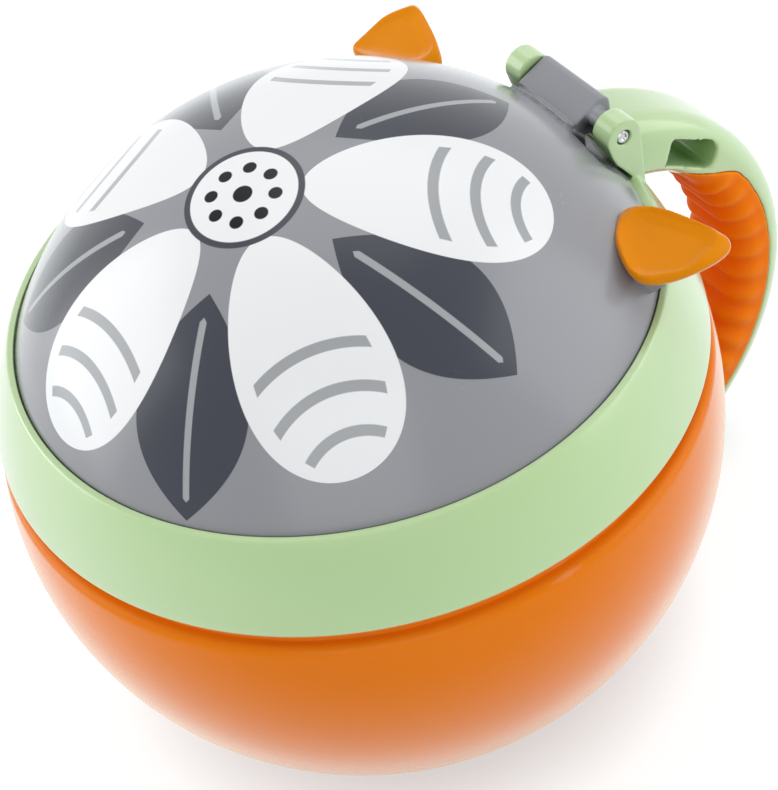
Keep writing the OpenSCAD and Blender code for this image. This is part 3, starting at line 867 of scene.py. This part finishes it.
def painted_shade_group():
    """Painted shade in narrow gaps and deep corners: where ambient occlusion finds walls close, the colour is
    darkened and made fuller, standing in for shade.
    """
    group, given = open_group("painted_corner_shade", {"Colour": MID_GREY, "Reach": 0.004})
    colour = given["Colour"]
    # painted shade: the colour times itself twice, mixed in as the surroundings close in
    share = ranged(group, open_share(group, given["Reach"], 8), 0.5, 0.15)
    deep = mix_colour(group, 1.0, mix_colour(group, 1.0, colour, colour, "MULTIPLY"), colour, "MULTIPLY")
    return close_group(group, {"Colour": mix_colour(group, share, colour, deep)})


MOULDED = moulded_group()
RUBBED = edge_group()
PAINTED_CORNER_SHADE = painted_shade_group()


def new_material(name):
    """Material with its tree and its Principled shader."""
    material = bpy.data.materials.new(name)
    material.use_nodes = True
    return material, material.node_tree, material.node_tree.nodes["Principled BSDF"]


def set_inputs(shader, **values):
    """Sets a shader's plain values; a name's underscores stand for spaces."""
    for name, value in values.items():
        shader.inputs[name.replace("_", " ")].default_value = value


def finish_plastic(tree, shader, colour, cloud=0.03, rough=0.3, gloss_change=0.05, marks=0.3, edges=0.0,
                   depth=0.008, gloss=0.1, corners=0.0):
    """Feeds a shader from the shared groups.

    In millimetres, depth is that of its bump and corners is how far the painted shade in its gaps and corners
    reaches.
    """
    shader.inputs["Specular IOR Level"].default_value = gloss
    base = place_group(tree, MOULDED, {"Colour": colour, "Cloud": cloud, "Roughness": rough,
                                       "Gloss change": gloss_change, "Marks": marks})
    worn = place_group(tree, RUBBED, {"Colour": base["Colour"], "Roughness": base["Roughness"],
                                      "Amount": edges})
    shown = worn["Colour"]
    # corners adds painted shade to the colour in gaps and corners
    if corners:
        shown = place_group(tree, PAINTED_CORNER_SHADE, {"Colour": shown, "Reach": corners * MM})["Colour"]
    bump = put(tree, "ShaderNodeBump", {"Height": base["Height"], "Distance": depth * MM, "Strength": 0.6})
    for name, value in (("Base Color", shown), ("Roughness", worn["Roughness"]), ("Normal", bump.outputs[0])):
        tree.links.new(value, shader.inputs[name])


def slant_gloss(tree, shader, start, full, ior):
    """Clear gloss that comes up where the surface is seen at a slant."""
    slant = put(tree, "ShaderNodeLayerWeight", {"Blend": 0.5}).outputs["Facing"]
    tree.links.new(ranged(tree, slant, start, full), shader.inputs["Coat Weight"])
    set_inputs(shader, Coat_Roughness=0.2, Coat_IOR=ior)


def warm_sheen(shader, weight):
    """Soft yellow sheen of a glossy orange moulding."""
    set_inputs(shader, Sheen_Weight=weight, Sheen_Roughness=0.3, Sheen_Tint=(1.0, 0.72, 0.2, 1))


# ---- materials
def plastic(name, colour, **finish):
    """Plain moulded plastic, with its tree and shader for what comes on top."""
    material, tree, shader = new_material(name)
    finish_plastic(tree, shader, linear(*colour), **finish)
    return material, tree, shader


def orange_plastic():
    """Glossy bowl."""
    material, tree, shader = plastic("orange_plastic", (228, 120, 14), rough=0.26, gloss_change=0.04,
                                     edges=0.15, depth=0.006)
    slant_gloss(tree, shader, 0.35, 0.8, 1.5)
    warm_sheen(shader, 0.24)
    return material


def mint_plastic(name, corners):
    """Satin collar and handle; corners is how far painted shade reaches into its gaps."""
    material, tree, shader = plastic(name, (182, 209, 157), edges=0.1, gloss=0.2, corners=corners)
    slant_gloss(tree, shader, 0.1, 0.5, 1.8)
    return material


def ear_plastic():
    """Smooth ears, a little yellower than the bowl."""
    material, tree, shader = plastic("ear_plastic", (222, 134, 12), gloss_change=0.04, depth=0.006,
                                     gloss=0.05)
    slant_gloss(tree, shader, 0.45, 0.8, 1.6)
    warm_sheen(shader, 0.2)
    return material


def pale_plastic():
    """Off-white inner parts."""
    return plastic("pale_plastic", (214, 216, 218), marks=0.4, edges=0.1, gloss=0.4)[0]


def grip_rubber():
    """Soft matt overmould with a fine grain, its colour painted darker in the grooves and lighter on the rib
    crests as shade and highlight.
    """
    material, tree, shader = new_material("grip_rubber")
    # painted shade and highlight: darker orange in the grooves, paler orange on the crests
    crest = ranged(tree, put(tree, "ShaderNodeNewGeometry").outputs["Pointiness"], 0.44, 0.54)
    colour = mix_colour(tree, crest, linear(228, 84, 0), linear(240, 134, 8))
    # corners adds painted shade in the grip's deep gaps
    finish_plastic(tree, shader, colour, cloud=0.04, rough=0.5, gloss_change=0.06, marks=0.2, depth=0.015,
                   gloss=0.08, corners=3.0)
    return material


def clear_silicone():
    """Milky silicone that lets a little light through."""
    material, _, shader = plastic("clear_silicone", (226, 229, 230), rough=0.42, gloss_change=0.08,
                                  depth=0.01, gloss=0.4)
    set_inputs(shader, Subsurface_Weight=0.35, Subsurface_Radius=(1.0, 1.0, 1.0), Subsurface_Scale=0.002)
    return material


def pin_steel():
    """Drawn wire, with fine lines along it."""
    material, tree, shader = new_material("pin_steel")
    drawn = put(tree, "ShaderNodeMapping", {"Vector": object_place(tree), "Scale": (0.04, 1.0, 1.0)})
    lines = noise(tree, drawn.outputs[0], 5200.0, 3.0)
    colour = mix_colour(tree, lines, linear(176, 178, 182), linear(214, 215, 218))
    tree.links.new(colour, shader.inputs["Base Color"])
    tree.links.new(ranged(tree, lines, 0.0, 1.0, 0.2, 0.36), shader.inputs["Roughness"])
    set_inputs(shader, Metallic=1.0)
    return material


# Lid: its grey and its finish; its inks, dark, white, black and pale, and the blur of their edges in
# millimetres; how many petals and seeds the flower has
LID_GREY = (143, 144, 149)
INKS = ((66, 69, 78), (230, 231, 233), (10, 9, 14), (158, 161, 164))
LID_FINISH = {"cloud": 0.02, "rough": 0.24, "gloss_change": 0.04, "marks": 0.25, "depth": 0.004, "gloss": 0.3}
INK_EDGE, PETALS, SEEDS = 0.06, 5, 8


class Print:
    """Flat drawing on the dome: masks are worked out from millimetres along its surface."""

    def __init__(self, tree, pole):
        self.tree = tree
        pole = Vector(pole).normalized()
        first = Vector((0, -1, 0))
        first = (first - pole * first.dot(pole)).normalized()
        centred = vector_node(tree, "SUBTRACT", object_place(tree), (0, 0, CENTRE_H * MM))[0]
        outward = vector_node(tree, "NORMALIZE", centred)[0]

        def along(axis):
            return vector_node(tree, "DOT_PRODUCT", outward, tuple(axis))[1]

        self.reach = self.times(self.do("ARCCOSINE", self.do("MINIMUM", along(pole), 0.99999)), DOME_R)
        self.turn = self.do("ARCTAN2", along(pole.cross(first)), along(first))

    def do(self, operation, *values):
        """Output of a sum in this material."""
        return math_node(self.tree, operation, *values)

    def times(self, value, factor):
        return self.do("MULTIPLY", value, factor)

    def less(self, value, other):
        return self.do("SUBTRACT", value, other)

    def line(self, distance, half_width):
        """Distance outside a line of a width, drawn where a distance is 0."""
        return self.less(self.do("ABSOLUTE", distance), half_width)

    def folded(self, count, offset):
        """(u, v) in millimetres, with the turn folded into one of count equal sectors."""
        sector = 2 * math.pi / count
        turned = self.do("ADD", self.turn, 4 * sector + offset + sector / 2)
        local = self.less(self.do("FLOORED_MODULO", turned, sector), sector / 2)
        return [self.times(self.reach, self.do(wave, local)) for wave in ("COSINE", "SINE")]

    def inside(self, distance):
        """1 where a distance in millimetres is below 0, with a crisp edge."""
        return ranged(self.tree, distance, INK_EDGE, -INK_EDGE)

    def disc(self, u, v, at, radius):
        """Distance outside a disc whose middle lies at a reach of the folded sector."""
        away = self.less(u, at)
        return self.less(self.do("SQRT", self.do("ADD", self.times(away, away), self.times(v, v))), radius)

    def leaf(self, u, v, middle, half_length, half_width, lean, pointed):
        """Distance outside a petal: round-ended, or pointed like a leaf."""
        share = self.do("DIVIDE", self.less(u, middle), half_length)
        left = self.less(1.0, self.times(share, share))
        bulge = left if pointed else self.do("SQRT", self.do("MAXIMUM", left, 0.0))
        width = self.times(self.times(bulge, half_width), self.do("MULTIPLY_ADD", share, lean, 1.0))
        beyond = self.times(self.do("MINIMUM", left, 0.0), -10.0)
        return self.do("ADD", self.less(self.do("ABSOLUTE", v), width), beyond)


def printed_dome():
    """Grey lid printed with one large five-petalled flower, pale petals between dark leaves."""
    material, tree, shader = new_material("printed_dome")
    dark, white, black, pale = (linear(*ink) for ink in INKS)
    art = Print(tree, (0.06, -0.2, 0.97))
    colour = linear(*LID_GREY)

    def paint(distance, ink):
        nonlocal colour
        colour = mix_colour(tree, art.inside(distance), colour, ink)

    u, v = art.folded(PETALS, math.pi / PETALS)
    leaf = art.leaf(u, v, middle=26.0, half_length=13.0, half_width=7.6, lean=0.15, pointed=True)
    paint(leaf, dark)
    paint(art.do("MAXIMUM", art.line(v, 0.45), art.do("ADD", leaf, 2.6)), pale)
    u, v = art.folded(PETALS, 0.0)
    petal = art.leaf(u, v, middle=22.0, half_length=15.0, half_width=9.2, lean=0.3, pointed=False)
    paint(petal, white)
    for radius in (9.0, 14.0, 19.0):
        stroke = art.line(art.disc(u, v, 41.0, radius), 0.65)
        paint(art.do("MAXIMUM", stroke, art.do("ADD", petal, 2.2)), pale)
    paint(art.less(art.reach, 7.4), dark)
    paint(art.less(art.reach, 6.6), white)
    u, v = art.folded(SEEDS, 0.0)
    paint(art.disc(u, v, 4.0, 0.85), black)
    paint(art.less(art.reach, 1.2), black)
    finish_plastic(tree, shader, colour, edges=0.1, **LID_FINISH)
    slant_gloss(tree, shader, 0.4, 0.85, 1.5)
    return material


def grey_plastic(name, corners):
    """The lid's own grey, without the print; corners is how far painted shade reaches into its gaps."""
    return plastic(name, LID_GREY, corners=corners, **LID_FINISH)[0]


# ---- the cup
def build_cup():
    """Makes every piece and puts it on its body."""
    orange, silicone, pale, ears = orange_plastic(), clear_silicone(), pale_plastic(), ear_plastic()
    # The handle, lugs and block get copies of their plastic that differ only in how far painted shade reaches
    # into their gaps.
    mint, handle_mint_with_painted_shade = mint_plastic("mint_plastic", 0.0), mint_plastic("mint_plastic_painted_shade_of_handle", 13.0)
    lug_mint_with_painted_shade = mint_plastic("mint_plastic_painted_shade_of_lugs", 5.0)
    block_grey_with_painted_shade = grey_plastic("grey_plastic_painted_shade_of_block", 11.0)
    pad_grey = grey_plastic("grey_plastic_of_pads", 0.0)
    plan = (
        (make_bowl, "bowl", "orange_plastic", orange, "bowl", 40),
        (make_bowl_seal, "thread_lift", "clear_silicone", silicone, "bowl_seal", 40),
        (make_collar, "collar", "mint_plastic", mint, "collar", 40),
        (make_lugs, "collar", "mint_plastic", lug_mint_with_painted_shade, "collar", 60),
        (make_pin, "collar", "pin_steel", pin_steel(), "hinge_pin", 30),
        (make_handle_shell, "collar", "mint_plastic", handle_mint_with_painted_shade, "handle_shell", 60),
        (make_grip, "collar", "orange_grip", grip_rubber(), "handle_grip", 60),
        (make_flap_ring, "collar", "clear_silicone", silicone, "flap_ring", 40),
        (make_retainer, "collar", "pale_plastic", pale, "flap_retainer", 40),
        (make_dome, "lid", "printed_grey_plastic", printed_dome(), "lid_dome", 35),
        (make_block, "lid", "printed_grey_plastic", block_grey_with_painted_shade, "lid_dome", 60),
        (make_pads, "lid", "printed_grey_plastic", pad_grey, "lid_dome", 60),
        (make_liner, "lid", "pale_plastic", pale, "lid_liner", 40),
        (make_lid_seal, "lid", "clear_silicone", silicone, "lid_seal", 40),
        (lambda: make_ear("right_ear", 1), "lid", "ear_plastic", ears, "ear_right", 60),
        (lambda: make_ear("left_ear", -1), "lid", "ear_plastic", ears, "ear_left", 60),
    )
    for make, body, slot, material, node, sharp in plan:
        piece = make()
        settle(piece, sharp)
        dress(piece, body, slot, material, node)
    for index in range(FLAP_COUNT):
        flap = make_flap(index)
        settle(flap, 50)
        dress(flap, f"flap_{index + 1}", "clear_silicone", silicone, f"flap_{index + 1}")


# ---- floor, light and camera
FLOOR_COLOUR, FLOOR_WHITE, SHADOW_REACH = (0.66, 0.72, 0.735, 1), 0.5, 0.014
ROOM_LEVEL = 0.78
VIEW_SIDE = (0.61, -0.42, 0.67)
# Lamps in metres and watts
LAMP_SIZE, LAMP_AIM = 0.8, (0, 0.01, 0.045)
LAMPS = (("left_side", (-0.62, -0.72, 0.42), 5.2), ("right_side", (0.5, 0.8, 0.42), 4.2),
         ("top_back", (-0.3, 0.32, 0.95), 2.3), ("front", (0.78, -0.5, 0.6), 4.2))


def background_rays(tree):
    """1 for rays that see the background: camera, glossy and transmitted ones."""
    rays = put(tree, "ShaderNodeLightPath").outputs
    seen = math_node(tree, "MAXIMUM", rays["Is Camera Ray"], rays["Is Glossy Ray"])
    return math_node(tree, "MAXIMUM", seen, rays["Is Transmission Ray"])


def make_floor():
    """White floor: its matt part takes the cup's real shadow, and its glow seen by camera and glossy rays is
    dimmed near the cup as a painted shadow.
    """
    floor = solid("floor", [(-3, -3, 0), (3, -3, 0), (3, 3, 0), (-3, 3, 0)], [(0, 1, 2, 3)])
    material = bpy.data.materials.new("white_floor")
    material.use_nodes = True
    tree = material.node_tree
    tree.nodes.clear()
    matt = put(tree, "ShaderNodeBsdfDiffuse", {"Color": FLOOR_COLOUR})
    # Painted shadow: the glow dims where ambient occlusion within SHADOW_REACH finds the cup near.
    level = ranged(tree, open_share(tree, SHADOW_REACH, 16), 0.3, 0.85, 0.95, 1.5)
    glow = put(tree, "ShaderNodeEmission", {"Color": WHITE, "Strength": level})
    share = math_node(tree, "MULTIPLY", background_rays(tree), FLOOR_WHITE)
    both = put(tree, "ShaderNodeMixShader", {0: share, 1: matt.outputs[0], 2: glow.outputs[0]})
    put(tree, "ShaderNodeOutputMaterial", {0: both.outputs[0]})
    floor.data.materials.append(material)


def make_room():
    """White surroundings, dimmer on the side that the picture is taken from."""
    world = bpy.data.worlds.new("studio")
    bpy.context.scene.world = world
    world.use_nodes = True
    tree = world.node_tree
    tree.nodes.clear()
    place = put(tree, "ShaderNodeTexCoord").outputs["Generated"]
    level = ranged(tree, vector_node(tree, "DOT_PRODUCT", place, VIEW_SIDE)[1], 0.0, 0.8, 1.0, 0.4)
    dimmed = math_node(tree, "MULTIPLY", level, ROOM_LEVEL)
    room = put(tree, "ShaderNodeBackground", {"Color": WHITE, "Strength": dimmed})
    white = put(tree, "ShaderNodeBackground", {"Color": WHITE, "Strength": level})
    both = put(tree, "ShaderNodeMixShader", {0: background_rays(tree), 1: room.outputs[0],
                                             2: white.outputs[0]})
    put(tree, "ShaderNodeOutputWorld", {0: both.outputs[0]})


def make_lamps():
    """Large soft square lamps about the cup."""
    for name, place, power in LAMPS:
        lamp = bpy.data.lights.new(name, "AREA")
        lamp.shape = "SQUARE"
        lamp.size = LAMP_SIZE
        lamp.energy = power
        holder = bpy.data.objects.new(name, lamp)
        holder.location = place
        holder.rotation_euler = (Vector(LAMP_AIM) - Vector(place)).to_track_quat("-Z", "Y").to_euler()
        bpy.context.collection.objects.link(holder)


# Camera, about the ball's middle and in ball radii: rise, roll, turn and distance, with the focal length
# and the ball's place in pixels of the picture
RISE, ROLL, TURN, DISTANCE = 44.75, -13.02, 24.4, 6.0
FOCAL_PX, LONG_SIDE_PX, SENSOR = 2147.454, 790, 36.0
MIDDLE_PX, BALL_PX = (389.0, 395.0), (363.341, 412.221)


def make_camera():
    """Camera that looks down on the cup from its right-hand front."""
    rise, roll, turn = (math.radians(a) for a in (RISE, ROLL, TURN))
    back = Vector((0, -math.cos(rise), math.sin(rise)))
    level, above = Vector((1, 0, 0)), Vector((0, math.sin(rise), math.cos(rise)))
    right = level * math.cos(roll) + above * math.sin(roll)
    upward = above * math.cos(roll) - level * math.sin(roll)
    aside = (BALL_PX[0] - MIDDLE_PX[0]) / FOCAL_PX * DISTANCE
    lifted = -(BALL_PX[1] - MIDDLE_PX[1]) / FOCAL_PX * DISTANCE
    place = back * DISTANCE - right * aside - upward * lifted
    to_right = Vector((math.sin(turn), -math.cos(turn), 0))
    to_back = Vector((math.cos(turn), math.sin(turn), 0))

    def turned(v):
        return Vector((v.dot(to_right), v.dot(to_back), v.z))

    lens = bpy.data.cameras.new("view")
    lens.sensor_width = SENSOR
    lens.lens = FOCAL_PX * SENSOR / LONG_SIDE_PX
    lens.clip_start, lens.clip_end = 0.01, 10
    camera = bpy.data.objects.new("view", lens)
    bpy.context.collection.objects.link(camera)
    axes = Matrix((turned(right), turned(upward), turned(back))).transposed()
    spot = turned(place) * BALL_R * MM + Vector((0, 0, CENTRE_H * MM))
    camera.matrix_world = Matrix.Translation(spot) @ axes.to_4x4()
    bpy.context.scene.camera = camera


make_camera()
build_cup()
make_floor()
make_room()
make_lamps()
bpy.context.scene.view_settings.view_transform = "Standard"
